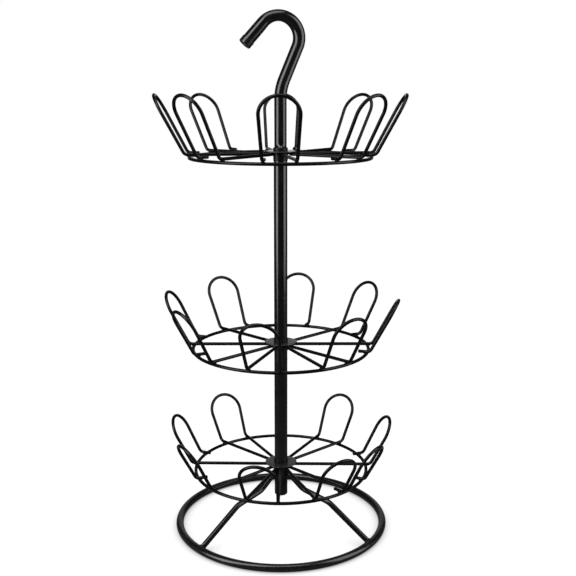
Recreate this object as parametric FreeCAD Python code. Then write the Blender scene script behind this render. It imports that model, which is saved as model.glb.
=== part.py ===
import FreeCAD, Part
import math
import os
from FreeCAD import Vector

# Rotating shoe tower: a ring foot on three legs, a post that is screwed together from tube
# sections with a hanging hook on top, and three wire tiers that turn on the post's joints.
# Millimetres. Origin: the post's axis where it meets the floor, +Z up, -Y to the front.

# ---- driving dimensions -------------------------------------------------------------------

# Stock
wire_d = 5.5             # tier rings and shoe loops, 5.5 mm wire
leg_rod_d = 9.53         # legs, 3/8 in rod
base_rod_d = 12.7        # ring foot, 1/2 in rod
post_d = 22.2            # post sections, 7/8 in tube
hook_d = 20.0            # hook, 20 mm tube
tube_wall = 1.2

# Fits
weld_gap = 0.05          # between wires that a weld holds together
press_gap = 0.02         # radial, between pieces pressed or screwed together
run_gap = 0.06           # radial, between a tier's hub disc and the collar it turns on
thrust_gap = 0.1         # between a hub disc and each collar face that holds it

# Foot
base_ring_r = 176.5      # centre line of the ring foot
leg_sides = ["back", "left", "right"]
leg_azimuths = [94.0, 222.0, 327.0]
leg_top_drop = 7.6               # from the foot tube's top edge to the leg's centre line
leg_shoulder_r = 45.0            # where a leg flattens out, from the post's axis
leg_shoulder_drop = 32.8         # and how far that is under the foot tube's top edge
leg_knee_r = 97.0                # where the leg drops to the ring
leg_knee_drop = 44.3
leg_bend_r = 30.0
leg_collar_wall = 1.6
leg_collar_length = 20.0
leg_collar_drop = 0.8            # from the foot tube's top edge down to the collar
foot_tube_length = 49.9

# Tiers
tier_ring_r = 147.0              # centre line of each tier ring
hub_disc_r = 27.0
hub_disc_t = 2.0
hub_disc_edge = 0.6              # rounding of a hub disc's rims
spoke_weld = 8.0                 # length of each spoke that lies under the hub disc
foot_outset = 5.0                # from the ring out to where a loop leaves the spokes' level
foot_half = 26.0                 # half the distance between a loop's two feet
loop_half = 30.0                 # radius of a loop's round top
loop_lean = 28.0                 # degrees, outwards from upright
foot_bend_r = 9.0
tail_length = 12.0               # how far a loop's short tail reaches inside the ring

# Each loop is placed by its azimuth in degrees. One of its feet runs on as a spoke and the other
# ends in a short tail: the spoke is the anticlockwise foot ("left"), the clockwise one ("right"),
# or both of them ("both").
tiers = {
    "bottom": {
        "ring_height": 101.5,
        "loop_rise": 73.0,
        "seat_height": 6.0,
        "azimuths": [9, 53, 126, 169, 214, 259, 301, 325],
        "spokes": ["right", "both", "both", "left", "left", "both", "right", "right"],
    },
    "middle": {
        "ring_height": 317.0,
        "loop_rise": 82.0,
        "seat_height": 14.0,
        "azimuths": [45 * k - 9.5 for k in range(8)],
        "spokes": ["left"] * 6 + ["both"] * 2,
    },
    "top": {
        "ring_height": 635.0,
        "loop_rise": 93.0,
        "seat_height": 14.0,
        "azimuths": [45 * k for k in range(8)],
        "spokes": ["left"] * 8,
    },
}

# Joints between the post's sections
collar_r = 11.9                  # seat and cap collars
cap_height = 5.0
spigot_r = 8.0                   # part of a seat collar that a hub disc turns on
collar_edge = 0.5
stud_d = 9.5
insert_length = 14.0
stud_grip = 12.0                 # how far a stud reaches into each insert
stud_chamfer = 1.0

# Foot tube plug
plug_flange_t = 2.0
plug_length = 12.0
plug_edge = 1.2

# Hook, drawn in its own upright plane: across is measured from the post's axis
hook_turn = 14.0                 # degrees that the hook's plane is turned from the X axis
hook_lean = 23.1                 # degrees, the slope of the straight up to the hook's arc
hook_arc_r = 33.6                # centre line of the hook's arc
hook_arc_across = -2.9           # centre of the arc, from the post's axis
hook_arc_rise = 171.0            # and above the top joint
hook_arc_end = 138.0             # degrees, where the arc runs out into the tip
hook_neck_r = 80.0               # bend between the upright tube and the slope
hook_tip_length = 44.0           # straight from the arc to the tube's end
end_cap_wall = 0.8
end_cap_depth = 10.5
end_cap_end_t = 1.2
end_cap_edge = 0.7

# ---- values that follow -------------------------------------------------------------------

wire_r = wire_d / 2
leg_rod_r = leg_rod_d / 2
base_rod_r = base_rod_d / 2
post_r = post_d / 2
post_bore_r = post_r - tube_wall
hook_r = hook_d / 2
stud_r = stud_d / 2
leg_collar_r = post_r + press_gap + leg_collar_wall
spoke_start_r = hub_disc_r - spoke_weld
foot_r = tier_ring_r + foot_outset
tail_end_r = tier_ring_r - tail_length
up = Vector(0, 0, 1)


def spoke_height(tier):
    """Centre line of a tier's spokes, which lie on top of its ring."""
    return tier["ring_height"] + wire_d + weld_gap


def disc_bottom(tier):
    return spoke_height(tier) + wire_r + weld_gap


def seat_top(tier):
    """Shoulder of the seat collar, just under the hub disc."""
    return disc_bottom(tier) - thrust_gap


def seat_bottom(tier):
    return seat_top(tier) - tier["seat_height"]


def cap_bottom(tier):
    return disc_bottom(tier) + hub_disc_t + thrust_gap


def cap_top(tier):
    return cap_bottom(tier) + cap_height


# ---- helpers ------------------------------------------------------------------------------

def polar(radius, azimuth, height):
    angle = math.radians(azimuth)
    return Vector(radius * math.cos(angle), radius * math.sin(angle), height)


def line(start, end):
    return Part.LineSegment(start, end).toShape()


def arc(start, middle, end):
    return Part.Arc(start, middle, end).toShape()


def bend(before, corner, after, radius):
    """Start, middle and end of the arc that rounds a corner."""
    back = (before - corner).normalize()
    ahead = (after - corner).normalize()
    half = back.getAngle(ahead) / 2
    inward = (back + ahead).normalize()
    centre = corner + inward * (radius / math.sin(half))
    reach = radius / math.tan(half)
    return corner + back * reach, centre - inward * radius, corner + ahead * reach


def bent_path(corners, radius):
    """Straight runs through the corners, with every inner corner rounded."""
    edges = []
    start = corners[0]
    for before, corner, after in zip(corners, corners[1:], corners[2:]):
        first, middle, last = bend(before, corner, after, radius)
        edges += [line(start, first), arc(first, middle, last)]
        start = last
    edges.append(line(start, corners[-1]))
    return edges


def rod(edges, radius):
    """A round rod along a path of tangent edges."""
    start = edges[0].valueAt(edges[0].FirstParameter)
    direction = edges[0].tangentAt(edges[0].FirstParameter)
    section = Part.Face(Part.Wire(Part.makeCircle(radius, start, direction)))
    return Part.Wire(edges).makePipe(section)


def cylinder(radius, bottom, top):
    return Part.makeCylinder(radius, top - bottom, Vector(0, 0, bottom))


def sleeve(outer, inner, bottom, top):
    return cylinder(outer, bottom, top).cut(cylinder(inner, bottom - 1, top + 1))


def rim_edges(shape, radius, height):
    """The round edges of one radius that lie at one height."""
    found = []
    for edge in shape.Edges:
        if not isinstance(edge.Curve, Part.Circle):
            continue
        same_radius = abs(edge.Curve.Radius - radius) < 1e-6
        if same_radius and abs(edge.Curve.Center.z - height) < 1e-6:
            found.append(edge)
    return found


def export(name, shape):
    solid = shape.Solids[0]
    assert solid.isValid() and len(shape.Solids) == 1, name
    solid.exportStep("parts/" + name + ".step")


# ---- foot ---------------------------------------------------------------------------------

def base_ring():
    return Part.makeTorus(base_ring_r, base_rod_r, Vector(0, 0, base_rod_r))


def base_leg(azimuth, foot_top):
    """A rod that leaves the leg collar steeply, runs out nearly flat and drops to the ring."""
    slope = (leg_shoulder_drop - leg_top_drop) / (leg_shoulder_r - leg_collar_r)
    inside = leg_collar_r / 2
    start = (inside, foot_top - leg_top_drop + slope * (leg_collar_r - inside))
    shoulder = (leg_shoulder_r, foot_top - leg_shoulder_drop)
    knee = (leg_knee_r, foot_top - leg_knee_drop)
    end = (base_ring_r, base_rod_r)
    corners = [polar(r, azimuth, z) for r, z in (start, shoulder, knee, end)]
    leg = rod(bent_path(corners, leg_bend_r), leg_rod_r)
    leg = leg.cut(cylinder(leg_collar_r + press_gap, 0, start[1] + leg_rod_d))
    return leg.cut(Part.makeTorus(base_ring_r, base_rod_r + press_gap, Vector(0, 0, base_rod_r)))


def leg_collar(foot_top):
    top = foot_top - leg_collar_drop
    return sleeve(leg_collar_r, post_r + press_gap, top - leg_collar_length, top)


def foot_plug(post_bottom):
    """A plug whose flange closes the foot tube from below."""
    flange = cylinder(post_r, post_bottom - plug_flange_t, post_bottom)
    flange = flange.makeChamfer(plug_edge, rim_edges(flange, post_r, post_bottom - plug_flange_t))
    body = cylinder(post_bore_r - press_gap, post_bottom - plug_flange_t, post_bottom + plug_length)
    return flange.fuse(body).removeSplitter()


# ---- post joints --------------------------------------------------------------------------

def seat_collar(tier):
    """The collar under a hub disc, with the spigot that the disc turns on."""
    collar = cylinder(collar_r, seat_bottom(tier), seat_top(tier))
    collar = collar.makeFillet(collar_edge, rim_edges(collar, collar_r, seat_bottom(tier)))
    spigot = cylinder(spigot_r, seat_bottom(tier), cap_bottom(tier))
    bore = cylinder(stud_r + press_gap, seat_bottom(tier) - 1, cap_bottom(tier) + 1)
    return collar.fuse(spigot).cut(bore)


def cap_collar(tier):
    collar = cylinder(collar_r, cap_bottom(tier), cap_top(tier))
    collar = collar.makeFillet(collar_edge, rim_edges(collar, collar_r, cap_top(tier)))
    return collar.cut(cylinder(stud_r + press_gap, cap_bottom(tier) - 1, cap_top(tier) + 1))


def tube_insert(bore_r, bottom):
    """A threaded plug pressed into the end of a tube."""
    return sleeve(bore_r - press_gap, stud_r + press_gap, bottom, bottom + insert_length)


def joint_stud(tier):
    bottom = seat_bottom(tier) - stud_grip
    top = cap_top(tier) + stud_grip
    stud = cylinder(stud_r, bottom, top)
    ends = rim_edges(stud, stud_r, bottom) + rim_edges(stud, stud_r, top)
    return stud.makeChamfer(stud_chamfer, ends)


# ---- tiers --------------------------------------------------------------------------------

def tier_ring(tier):
    return Part.makeTorus(tier_ring_r, wire_r, Vector(0, 0, tier["ring_height"]))


def hub_disc(tier):
    bottom = disc_bottom(tier)
    disc = cylinder(hub_disc_r, bottom, bottom + hub_disc_t)
    rims = rim_edges(disc, hub_disc_r, bottom) + rim_edges(disc, hub_disc_r, bottom + hub_disc_t)
    disc = disc.makeFillet(hub_disc_edge, rims)
    return disc.cut(cylinder(spigot_r + run_gap, bottom - 1, bottom + hub_disc_t + 1))


def shoe_loop(tier, azimuth, spokes):
    """One bent wire: spoke, foot, leaning side, round top, side, foot, and a tail or spoke."""
    level = spoke_height(tier)
    length = tier["loop_rise"] / math.cos(math.radians(loop_lean))
    out = polar(1, azimuth, 0)
    across = polar(1, azimuth + 90, 0)
    slope = out * math.sin(math.radians(loop_lean)) + up * math.cos(math.radians(loop_lean))
    origin = out * foot_r + up * level

    def on_loop(side, along):
        return origin + across * side + slope * along

    # The sides flare so that they meet the round top as tangents.
    centre = length - loop_half
    flare = math.atan2(centre, foot_half) - math.acos(loop_half / math.hypot(foot_half, centre))
    shoulder_side = loop_half * math.cos(flare)
    shoulder_along = centre - loop_half * math.sin(flare)

    def half(side):
        """Inner end, foot bend and shoulder of one half of the loop."""
        is_spoke = spokes in ("both", "left" if side > 0 else "right")
        foot = on_loop(side * foot_half, 0)
        foot_azimuth = azimuth + side * math.degrees(math.atan2(foot_half, foot_r))
        inner = polar(spoke_start_r if is_spoke else tail_end_r, foot_azimuth, level)
        shoulder = on_loop(side * shoulder_side, shoulder_along)
        return inner, bend(inner, foot, shoulder, foot_bend_r), shoulder

    inner_a, (a1, a2, a3), shoulder_a = half(1)
    inner_b, (b1, b2, b3), shoulder_b = half(-1)
    edges = [
        line(inner_a, a1), arc(a1, a2, a3), line(a3, shoulder_a),
        arc(shoulder_a, on_loop(0, length), shoulder_b),
        line(shoulder_b, b3), arc(b3, b2, b1), line(b1, inner_b),
    ]
    return rod(edges, wire_r)


# ---- hook ---------------------------------------------------------------------------------

def hook_point(across, height):
    return polar(across, hook_turn, height)


def hook_path(bottom):
    """Upright, a gentle neck, a straight slope, the big arc and the straight tip."""
    def on_arc(angle):
        turn = math.radians(angle)
        return (hook_arc_across + hook_arc_r * math.cos(turn),
                bottom + hook_arc_rise + hook_arc_r * math.sin(turn))

    arc_start = on_arc(-hook_lean)
    arc_middle = on_arc((hook_arc_end - hook_lean) / 2)
    arc_end = on_arc(hook_arc_end)
    neck_height = arc_start[1] - arc_start[0] / math.tan(math.radians(hook_lean))
    tip_turn = math.radians(hook_arc_end + 90)
    tip = (arc_end[0] + hook_tip_length * math.cos(tip_turn),
           arc_end[1] + hook_tip_length * math.sin(tip_turn))
    foot = hook_point(0, bottom)
    start, middle, end, last = (hook_point(*p) for p in (arc_start, arc_middle, arc_end, tip))
    n1, n2, n3 = bend(foot, hook_point(0, neck_height), start, hook_neck_r)
    edges = [line(foot, n1), arc(n1, n2, n3), line(n3, start), arc(start, middle, end), line(end, last)]
    return edges, last, (last - end).normalize()


def hook_tube(bottom):
    edges, _, _ = hook_path(bottom)
    return rod(edges, hook_r).cut(rod(edges, hook_r - tube_wall))


def hook_end_cap(bottom):
    """A cup pushed over the end of the hook."""
    _, tip, direction = hook_path(bottom)
    mouth = tip - direction * (end_cap_depth - end_cap_end_t)
    outer_r = hook_r + press_gap + end_cap_wall
    cup = Part.makeCylinder(outer_r, end_cap_depth, mouth, direction)
    cup = cup.makeFillet(end_cap_edge, [e for e in cup.Edges if isinstance(e.Curve, Part.Circle)])
    seat_depth = end_cap_depth - end_cap_end_t + press_gap
    start = mouth - direction * end_cap_depth
    return cup.cut(Part.makeCylinder(hook_r + press_gap, end_cap_depth + seat_depth, start, direction))


# ---- export -------------------------------------------------------------------------------

os.makedirs("parts", exist_ok=True)

bottom_tier, middle_tier, top_tier = (tiers[name] for name in ("bottom", "middle", "top"))
foot_top = seat_bottom(bottom_tier)
post_bottom = foot_top - foot_tube_length

export("base_ring", base_ring())
for side, azimuth in zip(leg_sides, leg_azimuths):
    export("base_leg_" + side, base_leg(azimuth, foot_top))
export("leg_collar", leg_collar(foot_top))
export("post_foot_plug", foot_plug(post_bottom))
export("post_foot", sleeve(post_r, post_bore_r, post_bottom, foot_top))
export("post_lower", sleeve(post_r, post_bore_r, cap_top(bottom_tier), seat_bottom(middle_tier)))
export("post_middle", sleeve(post_r, post_bore_r, cap_top(middle_tier), seat_bottom(top_tier)))
export("hook_tube", hook_tube(cap_top(top_tier)))
export("hook_end_cap", hook_end_cap(cap_top(top_tier)))

for name, tier in tiers.items():
    bore_above = hook_r - tube_wall if name == "top" else post_bore_r
    export(name + "_seat_collar", seat_collar(tier))
    export(name + "_cap_collar", cap_collar(tier))
    export(name + "_joint_stud", joint_stud(tier))
    export(name + "_insert_below", tube_insert(post_bore_r, seat_bottom(tier) - insert_length))
    export(name + "_insert_above", tube_insert(bore_above, cap_top(tier)))
    export(name + "_ring", tier_ring(tier))
    export(name + "_hub_disc", hub_disc(tier))
    for number, (azimuth, spokes) in enumerate(zip(tier["azimuths"], tier["spokes"]), start=1):
        export("{}_loop_{}".format(name, number), shoe_loop(tier, azimuth, spokes))
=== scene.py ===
import bpy
import math
import numpy as np
from mathutils import Matrix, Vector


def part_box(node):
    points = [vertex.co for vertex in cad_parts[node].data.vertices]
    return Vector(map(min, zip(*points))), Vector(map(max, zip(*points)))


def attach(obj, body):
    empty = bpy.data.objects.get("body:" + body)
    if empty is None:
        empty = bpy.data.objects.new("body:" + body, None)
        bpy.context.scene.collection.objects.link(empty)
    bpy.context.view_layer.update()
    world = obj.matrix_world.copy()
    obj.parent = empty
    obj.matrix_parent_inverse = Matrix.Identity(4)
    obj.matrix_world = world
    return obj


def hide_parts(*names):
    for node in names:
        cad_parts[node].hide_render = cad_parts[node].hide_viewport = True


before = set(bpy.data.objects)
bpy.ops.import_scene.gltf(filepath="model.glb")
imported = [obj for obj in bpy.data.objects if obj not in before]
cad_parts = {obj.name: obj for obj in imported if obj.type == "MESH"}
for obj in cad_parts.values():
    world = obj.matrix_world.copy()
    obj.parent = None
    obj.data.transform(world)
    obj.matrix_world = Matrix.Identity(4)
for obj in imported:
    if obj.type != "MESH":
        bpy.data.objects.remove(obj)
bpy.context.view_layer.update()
print("frame loaded with", len(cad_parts), "nodes")

# Lengths are in millimetres here and become metres in makePiece. The tower's axis is the Z axis.
mm = 0.001
fullTurn = 2 * math.pi
up = np.array([0.0, 0.0, 1.0])
tiny = 1e-9

# Diameters of the stock that the pieces are made of, and what it has in common
stock = {
    "wire": 5.5,
    "legRod": 9.53,
    "footRod": 12.7,
    "postTube": 22.2,
    "hookTube": 20.0,
    "tubeWall": 1.2,
    "weldGap": 0.05,         # between wires that a weld holds together
}


def unit(vectors):
    return vectors / np.linalg.norm(vectors, axis=-1, keepdims=True)


def polar(radius, azimuth, height):
    # the azimuth is in degrees
    angle = math.radians(azimuth)
    return np.array([radius * math.cos(angle), radius * math.sin(angle), height])


def span(node):
    # lowest and highest level of a node of the frame
    low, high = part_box(node)
    return low.z / mm, high.z / mm


def run(start, end, step=8.0, margin=0.3):
    # a straight line: points at even steps, with one more close to each end
    length = np.linalg.norm(end - start)
    inner = np.linspace(margin, length - margin, max(2, int(length / step) + 1))
    along = np.concatenate([[0.0], inner, [length]])[:, None]
    heading = unit(end - start)
    points = start + along * heading
    return points, np.broadcast_to(heading, points.shape)


def turn(start, heading, inward, radius, angle, steps):
    # an arc: start + radius * (sin a * heading + (1 - cos a) * inward)
    a = np.linspace(0, angle, steps + 1)[:, None]
    points = start + radius * (np.sin(a) * heading + (1 - np.cos(a)) * inward)
    return points, np.cos(a) * heading + np.sin(a) * inward


def chain(parts):
    # parts that meet end to end become one route, a shared point being kept once
    points = np.concatenate([parts[0][0]] + [p[1:] for p, _ in parts[1:]])
    headings = np.concatenate([parts[0][1]] + [h[1:] for _, h in parts[1:]])
    return points, headings


def bentRoute(corners, radius, step=8.0, turnSteps=10):
    # straight runs between the corners, and at each inner corner the arc that touches both runs
    parts = []
    start = corners[0]
    for before, corner, after in zip(corners, corners[1:], corners[2:]):
        back, ahead = unit(before - corner), unit(after - corner)
        half = math.acos(float(back @ ahead)) / 2
        reach = radius / math.tan(half)
        first = corner + back * reach
        towards = unit(back + ahead) * (radius / math.sin(half)) - back * reach
        parts.append(run(start, first, step))
        parts.append(turn(first, -back, towards / radius, radius, math.pi - 2 * half, turnSteps))
        start = corner + ahead * reach
    parts.append(run(start, corners[-1], step))
    return chain(parts)


def squareEnds(route, radius, edge, steps=5):
    # a rod cut square with rounded rims: near an end the radius is radius - edge * (1 - cos a)
    # at edge * (1 - sin a) from the end
    points, headings = route
    a = np.linspace(math.pi / 2, 0, steps + 1)[:, None]
    inset, rim = edge * (1 - np.sin(a)), radius - edge * (1 - np.cos(a))
    shape = (steps + 1, 3)
    points = np.concatenate([points[0] + inset * headings[0], points[1:-1],
                             points[-1] - inset[::-1] * headings[-1]])
    headings = np.concatenate([np.broadcast_to(headings[0], shape), headings[1:-1],
                               np.broadcast_to(headings[-1], shape)])
    radii = np.concatenate([rim, np.full((len(points) - 2 * len(rim), 1), radius), rim[::-1]])
    return (points, headings), radii


def sweep(route, radii, reference, around):
    # a round section carried along a route: point + radius * (cos a * side + sin a * rise), where
    # side is heading x reference and rise is side x heading
    points, headings = route
    side = unit(np.cross(headings, reference))
    rise = np.cross(side, headings)
    a = np.arange(around) * fullTurn / around
    spokes = np.cos(a)[:, None] * side[:, None] + np.sin(a)[:, None] * rise[:, None]
    return points[:, None] + np.asarray(radii)[..., None] * spokes


def ringRoute(radius, height, steps):
    # a level circle: (radius * cos a, radius * sin a, height)
    a = np.arange(steps)[:, None] * fullTurn / steps
    points = np.concatenate([radius * np.cos(a), radius * np.sin(a), np.full_like(a, height)],
                            axis=1)
    return points, np.concatenate([-np.sin(a), np.cos(a), np.zeros_like(a)], axis=1)


def rounded(corners, radii, closed, steps=4, margin=0.08):
    # a profile of (radius, height) corners, each rounded by the arc that touches both its sides,
    # with one more point on each side just beyond the arc
    corners, radii = np.asarray(corners, float), np.asarray(radii, float)[:, None]
    back = unit(np.roll(corners, 1, axis=0) - corners)
    ahead = unit(np.roll(corners, -1, axis=0) - corners)
    if not closed:
        back[0], ahead[-1] = -ahead[0], -back[-1]
    half = np.arccos(np.clip((back * ahead).sum(axis=1, keepdims=True), -1, 1)) / 2
    reach = radii / np.tan(half)
    first = corners + back * reach
    middle = back + ahead
    length = np.linalg.norm(middle, axis=1, keepdims=True)
    inward = np.where(length < tiny, 0, middle / np.maximum(length, tiny))
    towards = inward * radii / np.sin(half) - back * reach
    a = np.linspace(0, 1, steps + 1)[None, :, None] * (math.pi - 2 * half)[:, None]
    arcs = (first[:, None] - np.sin(a) * radii[:, None] * back[:, None]
            + (1 - np.cos(a)) * towards[:, None])
    lead = first + back * margin
    leave = corners + ahead * (reach + margin)
    points = np.concatenate([lead[:, None], arcs, leave[:, None]], axis=1)
    if not closed:
        points = np.concatenate([corners[:1], points[1:-1].reshape(-1, 2), corners[-1:]])
    return points.reshape(-1, 2)


def lathe(profile, around, origin=(0, 0, 0), axis=up, reference=(1.0, 0.0, 0.0)):
    # a profile turned about an axis:
    # origin + height * axis + radius * (cos a * side + sin a * rise)
    side = unit(np.cross(axis, reference))
    rise = np.cross(side, axis)
    a = np.arange(around) * fullTurn / around
    spokes = np.cos(a)[:, None] * side + np.sin(a)[:, None] * rise
    radius, height = profile[:, :1, None], profile[:, 1:, None]
    return np.asarray(origin) + height * axis + radius * spokes


def tubeProfile(inner, outer, low, high, rims):
    # a plain tube's wall, from its inner lower edge round to its inner upper one
    return rounded([(inner, low), (outer, low), (outer, high), (inner, high)], rims, True)


def traceTo(points, direction, distance, rounds=60):
    # points slide along one direction until they lie on a surface given by its distance function
    for _ in range(rounds):
        points = points + distance(points)[..., None] * direction
    return points


def gridFaces(rows, columns, closed):
    # squares between neighbouring rows, each row being a closed ring
    i = np.arange(rows if closed else rows - 1)[:, None]
    j = np.arange(columns)[None, :]
    below, above, ahead = i * columns, (i + 1) % rows * columns, (j + 1) % columns
    return np.stack([below + j, above + j, above + ahead, below + ahead], axis=-1).reshape(-1, 4)


def makePiece(name, surfaces, body, material, replaced=()):
    # a surface is a grid of points whose rows are rings, with True where the last row meets the
    # first; otherwise a point in the middle of each end row closes it
    points, faces, count = [], [], 0
    for grid, closed in surfaces:
        rows, columns = grid.shape[:2]
        faces += (gridFaces(rows, columns, closed) + count).tolist()
        points.append(grid.reshape(-1, 3))
        size = rows * columns
        if not closed:
            j = np.arange(columns)
            ahead = (j + 1) % columns
            last = size - columns
            firstFan = np.stack([j, ahead, np.full(columns, size)], axis=1)
            lastFan = np.stack([last + ahead, last + j, np.full(columns, size + 1)], axis=1)
            faces += (firstFan + count).tolist() + (lastFan + count).tolist()
            points.append(np.stack([grid[0].mean(axis=0), grid[-1].mean(axis=0)]))
            size += 2
        count += size
    mesh = bpy.data.meshes.new(name)
    mesh.from_pydata(np.concatenate(points) * mm, [], faces)
    mesh.polygons.foreach_set("use_smooth", np.ones(len(faces), bool))
    mesh.materials.append(material)
    mesh.update()
    piece = bpy.data.objects.new(name, mesh)
    bpy.context.scene.collection.objects.link(piece)
    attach(piece, body)
    if replaced:
        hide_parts(*replaced)


class Value:
    # a socket whose value varies over the surface: arithmetic on it adds Math nodes
    def __init__(self, graph, socket):
        self.graph, self.socket = graph, socket

    def math(self, operation, *others):
        sockets = dict(enumerate((self,) + others))
        return self.graph.node("ShaderNodeMath", {"operation": operation}, sockets)

    def also(self, output):
        # another output of the node that this value comes from
        return Value(self.graph, self.socket.node.outputs[output])

    def __add__(self, other):
        return self.math("ADD", other)

    __radd__ = __add__

    def __mul__(self, other):
        return self.math("MULTIPLY", other)

    __rmul__ = __mul__

    def __sub__(self, other):
        return self.math("SUBTRACT", other)

    def __rsub__(self, other):
        return self.math("MULTIPLY_ADD", -1.0, other)

    def __pow__(self, other):
        return self.math("POWER", other)


class Graph:
    # the nodes of one material, light or world
    def __init__(self, owner):
        owner.use_nodes = True
        self.owner, self.tree = owner, owner.node_tree
        self.tree.nodes.clear()

    def node(self, kind, settings=None, sockets=None, output=0):
        # a node of any kind: its settings come first, then the values or links of its sockets
        made = self.tree.nodes.new(kind)
        for key, setting in (settings or {}).items():
            setattr(made, key, setting)
        for key, value in (sockets or {}).items():
            if isinstance(value, Value):
                self.tree.links.new(value.socket, made.inputs[key])
            else:
                made.inputs[key].default_value = value
        return Value(self, made.outputs[output]) if made.outputs else None

    def place(self):
        return self.node("ShaderNodeTexCoord", output="Object")

    def noise(self, place, size, detail=2.0, roughness=0.5):
        # cloudy values from 0 to 1, with clouds about size millimetres across
        return self.node("ShaderNodeTexNoise", None, {
            "Vector": place, "Scale": 1 / (size * mm), "Detail": detail, "Roughness": roughness})

    def between(self, value, low, high):
        # 0 below low, 1 above high and a smooth rise between them
        return self.node("ShaderNodeMapRange", {"interpolation_type": "SMOOTHSTEP"},
                         {"Value": value, "From Min": low, "From Max": high})

    def blend(self, share, first, second):
        # a Mix node's colours are its inputs 6 and 7 and its output 2
        return self.node("ShaderNodeMix", {"data_type": "RGBA"}, {0: share, 6: first, 7: second}, 2)

    def surface(self, colour, roughness, height, constants):
        # the material's shader, with the height of its relief in millimetres
        normal = self.node("ShaderNodeBump", None, {
            "Height": height, "Strength": 1.0, "Distance": mm})
        shader = self.node("ShaderNodeBsdfPrincipled", None, {
            "Base Color": colour, "Roughness": roughness, "Normal": normal, **constants})
        self.node("ShaderNodeOutputMaterial", None, {"Surface": shader})
        return self.owner


def rgba(colour):
    return (*colour, 1.0)


def mirrored(ray):
    # 1 for what is seen in a mirror or through glass
    return ray.also("Is Glossy Ray").math("MAXIMUM", ray.also("Is Transmission Ray"))


# Black enamel on the tubes and legs
enamel = {
    "colour": (0.0028, 0.0028, 0.0030),
    "hazeColour": (0.0060, 0.0060, 0.0063),
    "hazeSize": 38.0,
    "hazeFrom": 0.42,        # haze lies where its noise is above this
    "hazeTo": 0.72,
    "hazeShare": 0.6,
    "dustSize": 2.4,
    "dustShare": 0.25,
    "roughness": 0.15,
    "roughnessSpread": 0.10,
    "peelSize": 1.7,         # orange peel of the sprayed coat
    "peelDepth": 0.003,
    "flowSize": 14.0,        # slower waves where the coat ran before it set
    "flowDepth": 0.02,
    "ior": 1.5,
}

# The same enamel as it lies on the ring foot, on the thin wire and over the welds
footCoat = {
    **enamel,
    "hazeColour": (0.012, 0.012, 0.0123),
    "hazeSize": 3.4,
    "roughness": 0.16,
    "roughnessSpread": 0.16,
    "peelSize": 1.9,
    "peelDepth": 0.020,
}
wireCoat = {
    **enamel,
    "colour": (0.0022, 0.0022, 0.0024),
    "hazeColour": (0.0042, 0.0042, 0.0044),
    "roughness": 0.14,
    "peelSize": 1.3,
    "peelDepth": 0.006,
    "ior": 1.26,
}
weldCoat = {
    **enamel,
    "roughness": 0.3,
    "peelSize": 0.9,
    "peelDepth": 0.03,
    "ior": 1.3,
}


def makeEnamel(name, look):
    graph = Graph(bpy.data.materials.new(name))
    place = graph.place()
    clouds = graph.noise(place, look["hazeSize"], detail=4.0, roughness=0.6)
    haze = graph.between(clouds, look["hazeFrom"], look["hazeTo"])
    dust = graph.noise(place, look["dustSize"], detail=3.0, roughness=0.7)
    colour = graph.blend(haze * look["hazeShare"] + dust * look["dustShare"],
                         rgba(look["colour"]), rgba(look["hazeColour"]))
    roughness = look["roughness"] + (haze * 0.5 + dust * 0.5) * look["roughnessSpread"]
    height = (graph.noise(place, look["peelSize"], detail=1.0) * look["peelDepth"]
              + graph.noise(place, look["flowSize"], detail=1.0) * look["flowDepth"])
    return graph.surface(colour, roughness, height, {"IOR": look["ior"]})


glossEnamel = makeEnamel("glossEnamel", enamel)
footEnamel = makeEnamel("footEnamel", footCoat)
wireEnamel = makeEnamel("wireEnamel", wireCoat)
weldEnamel = makeEnamel("weldEnamel", weldCoat)

# Satin coat on the hub discs, over the marks of their turning
satin = {
    "colour": (0.0070, 0.0070, 0.0072),
    "paleColour": (0.016, 0.016, 0.0165),
    "cloudSize": 9.0,
    "cloudFrom": 0.35,
    "cloudTo": 0.7,
    "cloudShare": 0.6,
    "grainShare": 0.4,
    "roughness": 0.14,
    "roughnessSpread": 0.10,
    "grooveEvery": 0.55,
    "grooveDepth": 0.004,
    "grainSize": 0.8,
    "grainDepth": 0.008,
    "ior": 1.5,
}


def makeSatin(name, look):
    graph = Graph(bpy.data.materials.new(name))
    place = graph.place()
    x = graph.node("ShaderNodeSeparateXYZ", None, {"Vector": place}, "X")
    y = x.also("Y")
    radius = (x * x + y * y) ** 0.5
    groove = (radius * (fullTurn / (look["grooveEvery"] * mm))).math("SINE") * 0.5 + 0.5
    grain = graph.noise(place, look["grainSize"], detail=3.0, roughness=0.6)
    clouds = graph.noise(place, look["cloudSize"], detail=3.0)
    cloud = graph.between(clouds, look["cloudFrom"], look["cloudTo"])
    colour = graph.blend(cloud * look["cloudShare"] + grain * look["grainShare"],
                         rgba(look["colour"]), rgba(look["paleColour"]))
    roughness = look["roughness"] + grain * look["roughnessSpread"]
    height = groove * look["grooveDepth"] + grain * look["grainDepth"]
    return graph.surface(colour, roughness, height, {"IOR": look["ior"]})


hubSatin = makeSatin("hubSatin", satin)

# Moulded black plastic of the plug and the hook's end cap, and the duller one of the collars
moulding = {
    "colour": (0.0050, 0.0050, 0.0052),
    "scuffColour": (0.017, 0.017, 0.0175),
    "scuffSize": 6.0,
    "scuffFrom": 0.55,       # scuffs lie where their noise is above this
    "scuffTo": 0.75,
    "scuffShare": 0.7,
    "roughness": 0.17,
    "scuffRoughness": 0.14,
    "grainRoughness": 0.08,
    "grainSize": 0.45,
    "grainDepth": 0.008,
    "ior": 1.5,
}
dullMoulding = {
    **moulding,
    "scuffColour": (0.007, 0.007, 0.0072),
    "roughness": 0.30,
    "ior": 1.25,
}


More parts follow.
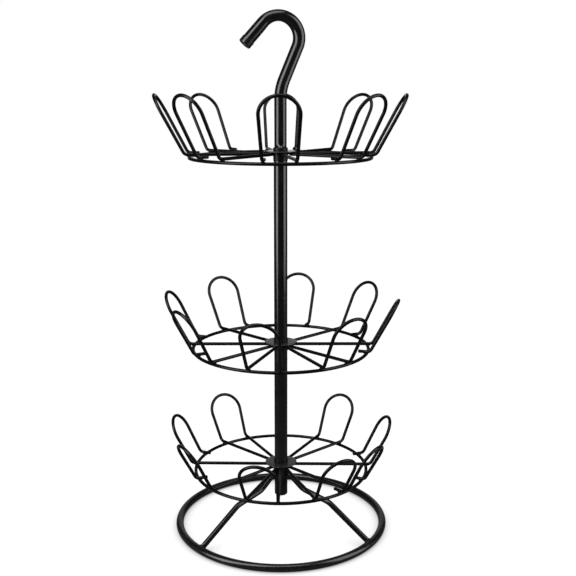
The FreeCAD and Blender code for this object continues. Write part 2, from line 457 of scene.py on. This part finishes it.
def makeMoulding(name, look):
    graph = Graph(bpy.data.materials.new(name))
    place = graph.place()
    grain = graph.noise(place, look["grainSize"], roughness=0.6)
    clouds = graph.noise(place, look["scuffSize"], detail=5.0, roughness=0.7)
    scuff = graph.between(clouds, look["scuffFrom"], look["scuffTo"])
    colour = graph.blend(scuff * look["scuffShare"],
                         rgba(look["colour"]), rgba(look["scuffColour"]))
    roughness = look["roughness"] + scuff * look["scuffRoughness"] + grain * look["grainRoughness"]
    return graph.surface(colour, roughness, grain * look["grainDepth"], {"IOR": look["ior"]})


blackMoulding = makeMoulding("blackMoulding", moulding)
collarMoulding = makeMoulding("collarMoulding", dullMoulding)

# Zinc plated steel of the studs and inserts, with the thread as relief
plating = {
    "colour": (0.50, 0.51, 0.53),
    "darkColour": (0.30, 0.31, 0.33),
    "spangles": 700.0,       # to the metre
    "roughness": 0.30,
    "roughnessSpread": 0.15,
    "pitch": 1.25,
    "threadDepth": 0.35,
}


def makePlating(name, look):
    graph = Graph(bpy.data.materials.new(name))
    place = graph.place()
    x = graph.node("ShaderNodeSeparateXYZ", None, {"Vector": place}, "X")
    angle = x.also("Y").math("ARCTAN2", x)
    thread = (x.also("Z") * (fullTurn / (look["pitch"] * mm)) + angle).math("SINE")
    spangle = graph.node("ShaderNodeTexVoronoi", None, {"Vector": place, "Scale": look["spangles"]})
    colour = graph.blend(spangle, rgba(look["darkColour"]), rgba(look["colour"]))
    roughness = look["roughness"] + spangle * look["roughnessSpread"]
    return graph.surface(colour, roughness, thread * look["threadDepth"], {"Metallic": 1.0})


zincPlating = makePlating("zincPlating", plating)
print("materials made")

# The studs and inserts keep their own shape
for name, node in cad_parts.items():
    if name.endswith(("_joint_stud", "_insert_below", "_insert_above")):
        node.data.materials.clear()
        node.data.materials.append(zincPlating)

# Ring foot: one rod rolled to a circle and butt welded at the back
footRing = {
    "radius": 176.5,
    "steps": 320,
    "around": 36,
    "weldAzimuth": 74.0,
    "weldWidth": 5.0,
    "weldHeight": 0.35,
    "weldReach": 0.6,        # the ridge ends this share of the rod's radius under its middle
}


def makeFootRing(look):
    # the rod's radius is rod + height * exp(-(distance to the weld / width) ^ 2) * topSide, and
    # topSide, reach + sin a, leaves the weld flush underneath
    rod = stock["footRod"] / 2
    route = ringRoute(look["radius"], rod, look["steps"])
    azimuth = np.arange(look["steps"]) * fullTurn / look["steps"]
    away = (azimuth - math.radians(look["weldAzimuth"])) * look["radius"] / look["weldWidth"]
    section = np.arange(look["around"]) * fullTurn / look["around"]
    topSide = np.clip(look["weldReach"] + np.sin(section), 0, 1)
    radii = rod + look["weldHeight"] * np.exp(-away ** 2)[:, None] * topSide[None]
    makePiece("footRing", [(sweep(route, radii, up, look["around"]), True)], "base",
              footEnamel, ["base_ring"])


makeFootRing(footRing)

# Legs: from the leg collar steeply down, out nearly flat and down to the ring foot
leg = {
    "azimuths": {"back": 94.0, "left": 222.0, "right": 327.0},
    "topDrop": 7.6,          # drops are measured from the foot tube's top edge
    "shoulder": (45.0, 32.8),    # radius and drop
    "knee": (97.0, 44.3),
    "bendRadius": 30.0,
    "bendSteps": 16,
    "step": 6.0,
    "around": 28,
    "sink": 0.25,            # how far an end reaches into what it is welded to
    "collarRoom": 16,        # how far an end backs off before it is fitted to the collar
    "ringRoom": 22,
}
legBead = {
    "radius": 1.25,
    "ringShare": 1.15,       # a bead on the ring foot is this much thicker
    "outset": 0.35,          # from the rod's surface to the bead's middle
    "ripple": 0.13,
    "ripples": 15,
    "steps": 96,
    "around": 10,
}


def makeLegs(look, bead):
    # a leg is a rod swept along its bent route, with each end fitted to what it is welded to. A
    # bead's radius is radius * share * (1 + ripple * |sin(ripples * a / 2 + azimuth)|) around it
    footTop = span("post_foot")[1]
    low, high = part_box("leg_collar")
    collarRadius = (high.x - low.x) / 2 / mm
    ringRadius, ringRod, rod = footRing["radius"], stock["footRod"] / 2, stock["legRod"] / 2
    (shoulderRadius, shoulderDrop), (kneeRadius, kneeDrop) = look["shoulder"], look["knee"]
    # the route starts inside the collar, on the slope of the leg's first stretch
    slope = (shoulderDrop - look["topDrop"]) / (shoulderRadius - collarRadius)
    corners = [(collarRadius / 2, footTop - look["topDrop"] + slope * collarRadius / 2),
               (shoulderRadius, footTop - shoulderDrop), (kneeRadius, footTop - kneeDrop),
               (ringRadius, ringRod)]

    def toCollar(points):
        return np.hypot(points[..., 0], points[..., 1]) - collarRadius + look["sink"]

    def toRing(points):
        outward = np.hypot(points[..., 0], points[..., 1]) - ringRadius
        return np.hypot(outward, points[..., 2] - ringRod) - ringRod + look["sink"]

    # for each end of a leg: its place in the route and the way it looks along it, the surface that
    # it is welded to, the room and the bead's thickness
    ends = [(0, -1, toCollar, look["collarRoom"], 1.0),
            (-1, 1, toRing, look["ringRoom"], bead["ringShare"])]
    beadAngle = np.arange(bead["steps"]) * fullTurn / bead["steps"]
    beads = []
    for side, azimuth in look["azimuths"].items():
        route = bentRoute([polar(r, azimuth, z) for r, z in corners], look["bendRadius"],
                          look["step"], look["bendSteps"])
        points, headings = route
        across = polar(1, azimuth + 90, 0)
        fitted = []
        for end, sign, surface, room, share in ends:
            # back off to where the whole section is clear of the surface, then slide it up to it
            direction = headings[end] * sign
            clear = ((points[end] - direction * room)[None], headings[end][None])
            section = sweep(clear, [[rod]], across, look["around"])[0]
            fitted.append(traceTo(section, direction, surface))
            wide = sweep(clear, [[rod + bead["outset"]]], across, bead["steps"])[0]
            seam = traceTo(wide, direction, surface)
            heading = unit(np.roll(seam, -1, axis=0) - np.roll(seam, 1, axis=0))
            ripple = 1 + bead["ripple"] * np.abs(np.sin(beadAngle * bead["ripples"] / 2 + azimuth))
            radii = np.repeat((bead["radius"] * share * ripple)[:, None], bead["around"], axis=1)
            beads.append((sweep((seam, heading), radii, direction, bead["around"]), True))
        # the rod's own sections lie between the two fitted ends
        inside = (toCollar(points) > rod) & (toRing(points) > rod)
        grid = sweep((points[inside], headings[inside]), np.full((inside.sum(), 1), rod), across,
                     look["around"])
        grid = np.concatenate([fitted[0][None], grid, fitted[1][None]])
        makePiece("leg" + side.capitalize(), [(grid, False)], "base", glossEnamel,
                  ["base_leg_" + side])
    makePiece("legWelds", beads, "base", weldEnamel)


makeLegs(leg, legBead)
print("ring foot and legs made")

# Post: tube sections, the collar that carries the legs, and the plug in the lowest section
post = {
    "sections": {            # each node's piece and the azimuth of the tube's own weld
        "post_foot": ("postFoot", 60.0),
        "post_lower": ("postLower", 112.0),
        "post_middle": ("postMiddle", 75.0),
    },
    "around": 96,
    "rims": [0.25] * 4,
    "seamHeight": 0.07,
    "seamWidth": 0.7,
}
legCollar = {"wall": 1.6, "fit": 0.02, "around": 96, "rims": [0.45] * 4}
footPlug = {
    "flange": 2.0,
    "edge": 1.2,
    "fit": 0.02,
    "dimpleRadius": 3.0,
    "dimpleDepth": 0.5,
    "dimpleSlope": 0.5,      # half the width of the dimple's slope
    "middle": 0.6,           # a fan of faces closes the profile inside this radius
    "around": 72,
    "rims": [0, 0.3, 0.3, 0.3, 0.3, 0.1, 0.1, 0.25, 0],
}


def makePost(look):
    outer = stock["postTube"] / 2
    inner = outer - stock["tubeWall"]
    for node, (name, seam) in look["sections"].items():
        low, high = span(node)
        grid = lathe(tubeProfile(inner, outer, low, high, look["rims"]), look["around"])
        # the tube's own weld shows under the paint as a low ridge on its outer side:
        # height * exp(-(distance to the seam / width) ^ 2)
        radius = np.hypot(grid[..., 0], grid[..., 1])
        away = (np.arctan2(grid[..., 1], grid[..., 0]) - math.radians(seam)) * outer
        height = np.where(radius > (inner + outer) / 2, look["seamHeight"], 0)
        ridge = height * np.exp(-(away / look["seamWidth"]) ** 2)
        grid[..., :2] *= (1 + ridge / radius)[..., None]
        makePiece(name, [(grid, True)], "base", glossEnamel, [node])


def makeLegCollar(look):
    inner = stock["postTube"] / 2 + look["fit"]
    low, high = span("leg_collar")
    profile = tubeProfile(inner, inner + look["wall"], low, high, look["rims"])
    makePiece("legCollar", [(lathe(profile, look["around"]), True)], "base",
              glossEnamel, ["leg_collar"])


def makeFootPlug(look):
    low, high = span("post_foot_plug")
    outer = stock["postTube"] / 2
    body = outer - stock["tubeWall"] - look["fit"]
    dimple, slope, deep = look["dimpleRadius"], look["dimpleSlope"], low + look["dimpleDepth"]
    corners = [(look["middle"], deep), (dimple - slope, deep), (dimple + slope, low),
               (outer - look["edge"], low), (outer, low + look["edge"]),
               (outer, low + look["flange"]), (body, low + look["flange"]), (body, high),
               (look["middle"], high)]
    grid = lathe(rounded(corners, look["rims"], False), look["around"])
    makePiece("footPlug", [(grid, False)], "base", blackMoulding,
              ["post_foot_plug"])


makePost(post)
makeLegCollar(legCollar)
makeFootPlug(footPlug)
print("post made")

# Hook: tube bent in an upright plane, with a cap on its end
hook = {
    "turn": 14.0,            # degrees from the X axis to the hook's plane
    "lean": 23.1,
    "arcRadius": 33.6,
    "arcAcross": -2.9,       # the arc's centre, across from the post's axis and above the joint
    "arcRise": 171.0,
    "arcEnd": 138.0,
    "arcSteps": 72,
    "neckRadius": 80.0,
    "neckSteps": 16,
    "tipLength": 44.0,
    "step": 6.0,
    "around": 64,
    "rim": 0.3,
    "tightFrom": 0.02,       # a bend is tight from this many radians to the mm
    "tightRise": 0.01,
    "creaseDepth": 0.05,     # faint creases on the inside of the tight bend
    "creaseEvery": 3.1,
    "seamHeight": 0.06,
    "seamWidth": 0.7,
    "seamAngle": 135.0,      # degrees from the inside of the bend
    "flatInside": 0.13,      # how far the bend has flattened the tube, as shares of its radius
    "flatOutside": 0.045,
    "flatAcross": 0.03,
    "flatReach": 27.0,       # mm along the arc, to each side of its top
}
endCap = {
    "wall": 0.8,
    "fit": 0.02,
    "depth": 10.5,
    "end": 1.2,
    "lip": 1.3,
    "lipStep": 0.22,
    "lipSlope": 0.3,
    "dishRadius": 7.6,
    "dishDepth": 0.45,
    "dishSlope": 0.6,
    "middle": 0.5,           # a fan of faces closes the profile inside this radius
    "around": 72,
    "rims": [0, 0.2, 0.15, 0.25, 0.25, 0.15, 1.7, 0.2, 0.2, 0],
}


def hookRoute(look):
    # in the hook's plane: up the post's axis, round the neck's bend, straight on to where the arc
    # starts, round the arc and straight on to the tip. The arc starts at lean degrees below level
    bottom = span("hook_tube")[0]
    out = polar(1, look["turn"], 0)

    def inPlane(across, height):
        return out * across + up * height

    def onArc(angle):
        turned = math.radians(angle)
        return inPlane(math.cos(turned), math.sin(turned))

    centre = inPlane(look["arcAcross"], bottom + look["arcRise"])
    arcStart = centre + look["arcRadius"] * onArc(-look["lean"])
    heading = onArc(90 - look["lean"])
    neck = arcStart - heading * (float(arcStart @ out) / float(heading @ out))
    neckPath = bentRoute([inPlane(0, bottom), neck, arcStart], look["neckRadius"], look["step"],
                         look["neckSteps"])
    arcPath = turn(arcStart, heading, -onArc(-look["lean"]), look["arcRadius"],
                   math.radians(look["arcEnd"] + look["lean"]), look["arcSteps"])
    end = arcPath[0][-1]
    tipPath = run(end, end + arcPath[1][-1] * look["tipLength"], look["step"])
    return chain([neckPath, arcPath, tipPath]), polar(1, look["turn"] + 90, 0)


def makeHook(look):
    # the section's radius is radius * (1 + bell * (across * sin^2 a - flat * cos^2 a)) + crease
    # + seam, where flat differs between the inside and the outside of the bend, and bell is
    # exp(-(distance to the arc's top / reach) ^ 2)
    route, across = hookRoute(look)
    outer = stock["hookTube"] / 2
    outside, radii = squareEnds(route, outer, look["rim"])
    points, headings = outside
    length = np.concatenate([[0], np.cumsum(np.linalg.norm(np.diff(points, axis=0), axis=1))])
    bend = np.linalg.norm(np.gradient(headings, axis=0), axis=1) / (np.gradient(length) + tiny)
    tight = np.clip((bend - look["tightFrom"]) / look["tightRise"], 0, 1)[:, None]
    # the section's own side, at angle 0, looks to the inside of the bend
    angle = np.arange(look["around"]) * fullTurn / look["around"]
    inwards = np.clip(np.cos(angle), 0, 1)[None] ** 2
    outwards = np.clip(-np.cos(angle), 0, 1)[None] ** 2
    bell = np.exp(-((length - length[np.argmax(points[:, 2])]) / look["flatReach"]) ** 2)[:, None]
    shape = 1 + bell * (look["flatAcross"] * np.sin(angle)[None] ** 2
                        - look["flatInside"] * inwards - look["flatOutside"] * outwards)
    crease = look["creaseDepth"] * np.sin(length * fullTurn / look["creaseEvery"])[:, None]
    seamAway = (angle - math.radians(look["seamAngle"])) * outer / look["seamWidth"]
    seam = look["seamHeight"] * np.exp(-seamAway ** 2)[None]
    grid = sweep(outside, radii * shape + crease * tight * inwards + seam, across, look["around"])
    bore, boreRadii = squareEnds(route, outer - stock["tubeWall"], 0.0)
    innerGrid = sweep(bore, boreRadii * shape, across, look["around"])
    makePiece("hook", [(np.concatenate([grid, innerGrid[::-1]]), True)], "base",
              glossEnamel, ["hook_tube"])
    return route[0][-1], route[1][-1], across


def makeEndCap(look, tip, direction, across):
    # heights of the profile are measured along the hook from the tube's end
    inner = stock["hookTube"] / 2 + look["fit"]
    outer = inner + look["wall"]
    body, end = outer - look["lipStep"], look["end"]
    mouth = end - look["depth"]
    lip, deep = mouth + look["lip"], end - look["dishDepth"]
    corners = [(look["middle"], look["fit"]), (inner, look["fit"]), (inner, mouth), (outer, mouth),
               (outer, lip), (body, lip + look["lipSlope"]), (body, end), (look["dishRadius"], end),
               (look["dishRadius"] - look["dishSlope"], deep), (look["middle"], deep)]
    grid = lathe(rounded(corners, look["rims"], False), look["around"], tip, direction, across)
    makePiece("hookEndCap", [(grid, False)], "base", blackMoulding,
              ["hook_end_cap"])


makeEndCap(endCap, *makeHook(hook))
print("hook made")

# Tiers: a ring, eight bent loops whose feet run on as spokes or end in short tails, a hub disc
# that turns between two collars, and the welds that hold the wires
tiers = {
    "bottom": {
        "rise": 73.0,
        "azimuths": [9, 53, 126, 169, 214, 259, 301, 325],
        "spokes": ["right", "both", "both", "left", "left", "both", "right", "right"],
    },
    "middle": {
        "rise": 82.0,
        "azimuths": [45 * k - 9.5 for k in range(8)],
        "spokes": ["left"] * 6 + ["both"] * 2,
    },
    "top": {
        "rise": 93.0,
        "azimuths": [45 * k for k in range(8)],
        "spokes": ["left"] * 8,
    },
}
tierRing = {
    "radius": 147.0,
    "steps": 288,
    "around": 20,
    "weldTurn": 22,          # degrees from the second loop to the ring's butt weld
    "weldHeight": 0.22,
    "weldWidth": 2.6,
}
loop = {
    "footRadius": 152.0,
    "footHalf": 26.0,        # half the distance between a loop's two feet
    "topRadius": 30.0,
    "topSteps": 44,
    "lean": 28.0,
    "bendRadius": 9.0,
    "spokeStart": 19.0,
    "tailEnd": 135.0,
    "around": 20,
    "endEdge": 0.7,
}
hubDisc = {
    "radius": 27.0,
    "bore": 8.06,
    "stepRadius": 22.5,
    "stepHeight": 0.25,
    "stepSlope": 0.4,
    "around": 96,
    "rims": [0.15, 0.6, 0.6, 0.3, 0.3, 0.15],
}
collar = {
    "radius": 11.9,
    "spigot": 8.0,
    "bore": 4.77,
    "thrustGap": 0.1,        # between the seat collar's shoulder and the hub disc
    "around": 80,
    "seatRims": [0.2, 0.55, 0.25, 0.15, 0.2, 0.2],
    "capRims": [0.2, 0.25, 0.55, 0.2],
}
crossingWeld = {"halfSizes": (3.3, 3.3, 1.5), "lump": 0.07}
hubWeld = {"radius": 22.9, "halfSizes": (3.6, 2.2, 0.8), "lump": 0.08}


def footAzimuth(look, azimuth, side):
    # side is 1 for a loop's left foot and -1 for its right one
    return azimuth + side * math.degrees(math.atan2(look["footHalf"], look["footRadius"]))


def isSpoke(spokes, side):
    # whether the foot on that side runs on to the hub
    return spokes in ("both", "left" if side > 0 else "right")


def loopRoute(look, level, rise, azimuth, spokes):
    # one wire in order: inner end, foot, leaning side, round top, side, foot, inner end
    lean = math.radians(look["lean"])
    out, across = polar(1, azimuth, 0), polar(1, azimuth + 90, 0)
    slope = out * math.sin(lean) + up * math.cos(lean)
    origin = out * look["footRadius"] + up * level
    centre = rise / math.cos(lean) - look["topRadius"]
    flare = (math.atan2(centre, look["footHalf"])
             - math.acos(look["topRadius"] / math.hypot(look["footHalf"], centre)))

    def half(side):
        reach = look["spokeStart"] if isSpoke(spokes, side) else look["tailEnd"]
        inner = polar(reach, footAzimuth(look, azimuth, side), level)
        foot = origin + across * side * look["footHalf"]
        shoulder = (origin + across * side * look["topRadius"] * math.cos(flare)
                    + slope * (centre - look["topRadius"] * math.sin(flare)))
        return [inner, foot, shoulder]

    left, right = half(1), half(-1)
    inward = -across * math.cos(flare) + slope * math.sin(flare)
    top = turn(left[2], unit(left[2] - left[1]), inward, look["topRadius"], math.pi + 2 * flare,
               look["topSteps"])
    route = chain([bentRoute(left, look["bendRadius"]), top,
                   bentRoute(right[::-1], look["bendRadius"])])
    return route, out * math.cos(lean) - up * math.sin(lean)


def nugget(centre, axes, look, phase, rows=9, columns=16, reach=1.35):
    # a lumpy ellipsoid: centre + swell * (cos e * (cos a * A + sin a * B) + sin e * C), where swell
    # is 1 + lump * (sin(3 a + phase) + sin(2 a - 2.3 phase + 3 e))
    e = np.linspace(-reach, reach, rows)[:, None, None]
    a = np.arange(columns)[None, :, None] * -fullTurn / columns
    swell = 1 + look["lump"] * (np.sin(3 * a + phase) + np.sin(2 * a - 2.3 * phase + 3 * e))
    first, second, third = (axis * size for axis, size in zip(axes, look["halfSizes"]))
    return centre + swell * (np.cos(e) * (np.cos(a) * first + np.sin(a) * second)
                             + np.sin(e) * third)


def makeTierRing(name, tier, look, height):
    # the wire's radius is wire + height * exp(-(distance to the weld / width) ^ 2)
    route = ringRoute(look["radius"], height, look["steps"])
    weldAt = math.radians(tier["azimuths"][1] + look["weldTurn"])
    away = (np.arange(look["steps"]) * fullTurn / look["steps"] - weldAt) * look["radius"]
    bell = np.exp(-(away / look["weldWidth"]) ** 2)[:, None]
    radii = stock["wire"] / 2 + look["weldHeight"] * bell
    grid = sweep(route, np.repeat(radii, look["around"], axis=1), up, look["around"])
    makePiece(name + "Ring", [(grid, True)], name + "_tier", wireEnamel,
              [name + "_ring"])


def makeLoops(name, tier, look, ringHeight):
    body, wire = name + "_tier", stock["wire"] / 2
    level = ringHeight + stock["wire"] + stock["weldGap"]
    crossings, hubSpots = [], []
    for number, (azimuth, spokes) in enumerate(zip(tier["azimuths"], tier["spokes"]), start=1):
        route, reference = loopRoute(look, level, tier["rise"], azimuth, spokes)
        route, radii = squareEnds(route, wire, look["endEdge"])
        grid = sweep(route, radii, reference, look["around"])
        makePiece("{}Loop{}".format(name, number), [(grid, False)], body, wireEnamel,
                  ["{}_loop_{}".format(name, number)])
        for side in (1, -1):
            at = footAzimuth(look, azimuth, side)
            axes = (polar(1, at, 0), polar(1, at + 90, 0), up)
            crossing = polar(tierRing["radius"], at, ringHeight + wire)
            crossings.append((nugget(crossing, axes, crossingWeld, at), False))
            if isSpoke(spokes, side):
                spot = polar(hubWeld["radius"], at, level + wire)
                hubSpots.append((nugget(spot, axes, hubWeld, at), False))
    makePiece(name + "RingWelds", crossings, body, weldEnamel)
    makePiece(name + "HubWelds", hubSpots, body, weldEnamel)


def makeHub(name, disc, look):
    low, high = span(name + "_hub_disc")
    step, slope, rim = disc["stepRadius"], disc["stepSlope"], high - disc["stepHeight"]
    corners = [(disc["bore"], low), (disc["radius"], low), (disc["radius"], rim),
               (step + slope, rim), (step - slope, high), (disc["bore"], high)]
    grid = lathe(rounded(corners, disc["rims"], True), disc["around"])
    makePiece(name + "HubDisc", [(grid, True)], name + "_tier", hubSatin,
              [name + "_hub_disc"])

    shoulder = low - look["thrustGap"]
    low, high = span(name + "_seat_collar")
    corners = [(look["bore"], low), (look["radius"], low), (look["radius"], shoulder),
               (look["spigot"], shoulder), (look["spigot"], high), (look["bore"], high)]
    grid = lathe(rounded(corners, look["seatRims"], True), look["around"])
    makePiece(name + "SeatCollar", [(grid, True)], "base", collarMoulding,
              [name + "_seat_collar"])

    low, high = span(name + "_cap_collar")
    profile = tubeProfile(look["bore"], look["radius"], low, high, look["capRims"])
    makePiece(name + "CapCollar", [(lathe(profile, look["around"]), True)], "base",
              collarMoulding, [name + "_cap_collar"])


for name, tier in tiers.items():
    ringHeight = sum(span(name + "_ring")) / 2
    makeTierRing(name, tier, tierRing, ringHeight)
    makeLoops(name, tier, loop, ringHeight)
    makeHub(name, hubDisc, collar)
    print(name, "tier made")

# Floor: white to the camera, with a painted shadow of the object close to where it stands, its glow
# darkened where the object hides the sky, and in mirrors dark near the object and white far behind
# it
floorLook = {
    "size": 40.0,            # lengths are in metres from here on
    "paint": 0.12,
    "farPaint": 0.06,
    "glow": 0.94,
    "nearRadius": 0.32,
    "farRadius": 0.75,
    # painted shadow: the floor's glow is darkened within this reach of the object, by up to this
    # depth
    "paintedShadowReach": 0.031,
    "paintedShadowDepth": 0.78,
    "paintedShadowSamples": 16,
    "mirroredFrom": 0.5,
    "mirroredTo": 1.8,
    "mirroredSpread": 3.2,
}


def makeFloor(look):
    half = look["size"] / 2
    corners = [(-half, -half, 0), (half, -half, 0), (half, half, 0), (-half, half, 0)]
    mesh = bpy.data.meshes.new("floor")
    mesh.from_pydata(corners, [], [(0, 1, 2, 3)])
    graph = Graph(bpy.data.materials.new("paleFloor"))
    place = graph.place()
    distance = graph.node("ShaderNodeVectorMath", {"operation": "LENGTH"}, {0: place}, "Value")
    far = graph.between(distance, look["nearRadius"], look["farRadius"])
    behind = graph.node("ShaderNodeSeparateXYZ", None, {"Vector": place}, "Y")
    aside = behind.also("X").math("ABSOLUTE")
    ray = graph.node("ShaderNodeLightPath", output="Is Camera Ray")
    # the share of the sky that the object leaves open over a point of the floor; what it covers
    # darkens the glow as a painted shadow
    openSky = graph.node("ShaderNodeAmbientOcclusion", {"samples": look["paintedShadowSamples"]},
                         {"Distance": look["paintedShadowReach"]}, "AO")
    paintedShadow = (1 - openSky) * look["paintedShadowDepth"]
    toCamera = ray * (1 - paintedShadow) * (far * (1 - look["glow"]) + look["glow"])
    toMirror = mirrored(ray) * graph.between(behind - aside * look["mirroredSpread"],
                                             look["mirroredFrom"], look["mirroredTo"])
    colour = graph.blend(far, rgba((look["paint"],) * 3), rgba((look["farPaint"],) * 3))
    paint = graph.node("ShaderNodeBsdfDiffuse", None, {"Color": colour})
    light = graph.node("ShaderNodeEmission", None, {"Strength": toCamera + toMirror})
    shader = graph.node("ShaderNodeAddShader", None, {0: paint, 1: light})
    graph.node("ShaderNodeOutputMaterial", None, {"Surface": shader})
    mesh.materials.append(graph.owner)
    floor = bpy.data.objects.new("floor", mesh)
    bpy.context.scene.collection.objects.link(floor)


makeFloor(floorLook)

# Studio: white wherever the camera looks, and for reflections a white wall straight behind the
# object with a grey one around it. From and to are how much of a direction points backwards
studio = {
    "fill": 0.40,
    "room": 0.02,
    "wallFrom": 0.96,
    "wallTo": 1.0,
    "grey": 0.32,
    "greyFrom": 0.55,
    "greyTo": 0.75,
    "greySpread": 0.5,
}


def makeWorld(look):
    world = bpy.data.worlds.new("studio")
    bpy.context.scene.world = world
    graph = Graph(world)
    direction = graph.node("ShaderNodeTexCoord", output="Generated")
    behind = graph.node("ShaderNodeSeparateXYZ", None, {"Vector": direction}, "Y")
    aside = behind.also("X").math("ABSOLUTE")
    grey = graph.between(behind - aside * look["greySpread"], look["greyFrom"], look["greyTo"])
    white = graph.between(behind, look["wallFrom"], look["wallTo"])
    wall = white.math("MAXIMUM", grey * look["grey"])
    ray = graph.node("ShaderNodeLightPath", output="Is Camera Ray")
    seen = ray.math("MAXIMUM", mirrored(ray) * wall)
    room = look["room"] + ray.also("Is Diffuse Ray") * (look["fill"] - look["room"])
    strength = seen + (1 - seen) * room
    light = graph.node("ShaderNodeBackground", None, {
        "Color": rgba((1, 1, 1)), "Strength": strength})
    graph.node("ShaderNodeOutputWorld", None, {"Surface": light})


makeWorld(studio)

# Softboxes: the middles of the lower and of the upper edge, and the width. The left one leans over
# the object towards the front
softboxes = {
    "leftSoftbox": {
        "lower": (-1.50, -0.58, 0.10),
        "upper": (-0.42, -0.95, 2.05),
        "width": 0.80,
        "radiance": 5.6,
    },
    "rightSoftbox": {
        "lower": (1.55, -0.41, 0.10),
        "upper": (1.10, -0.30, 1.90),
        "width": 1.10,
        "radiance": 3.2,
    },
    "overheadSoftbox": {
        "lower": (0.0, -1.15, 2.30),
        "upper": (0.0, 0.10, 2.30),
        "width": 1.40,
        "radiance": 3.2,
    },
}
softboxTarget = (0.0, 0.0, 0.6)


def makeSoftbox(name, look):
    lower, upper = np.array(look["lower"]), np.array(look["upper"])
    middle = (lower + upper) / 2
    # a lamp shines along its own -Z: its X runs across, its Y from the lower to the upper edge
    rise = unit(upper - lower)
    across = unit(np.cross(rise, middle - softboxTarget))
    light = bpy.data.lights.new(name, "AREA")
    light.shape = "RECTANGLE"
    light.size, light.size_y = look["width"], float(np.linalg.norm(upper - lower))
    light.energy = look["radiance"] * math.pi * light.size * light.size_y
    lamp = bpy.data.objects.new(name, light)
    bpy.context.scene.collection.objects.link(lamp)
    place = np.eye(4)
    place[:3, :3] = np.stack([across, rise, np.cross(across, rise)], axis=1)
    place[:3, 3] = middle
    lamp.matrix_world = Matrix(place.tolist())


for name, look in softboxes.items():
    makeSoftbox(name, look)

# Camera
shot = {"at": (0.0121, -1.5, 0.7405), "pitch": 12.109, "lens": 57.584, "sensor": 36.0,
        "near": 0.05, "far": 50}
camera = bpy.data.cameras.new("camera")
camera.lens, camera.sensor_width = shot["lens"], shot["sensor"]
camera.clip_start, camera.clip_end = shot["near"], shot["far"]
viewer = bpy.data.objects.new("camera", camera)
bpy.context.scene.collection.objects.link(viewer)
viewer.location = shot["at"]
viewer.rotation_euler = (math.radians(90 - shot["pitch"]), 0, 0)
bpy.context.scene.camera = viewer
bpy.context.scene.view_settings.view_transform = "Standard"

print("scene ready")
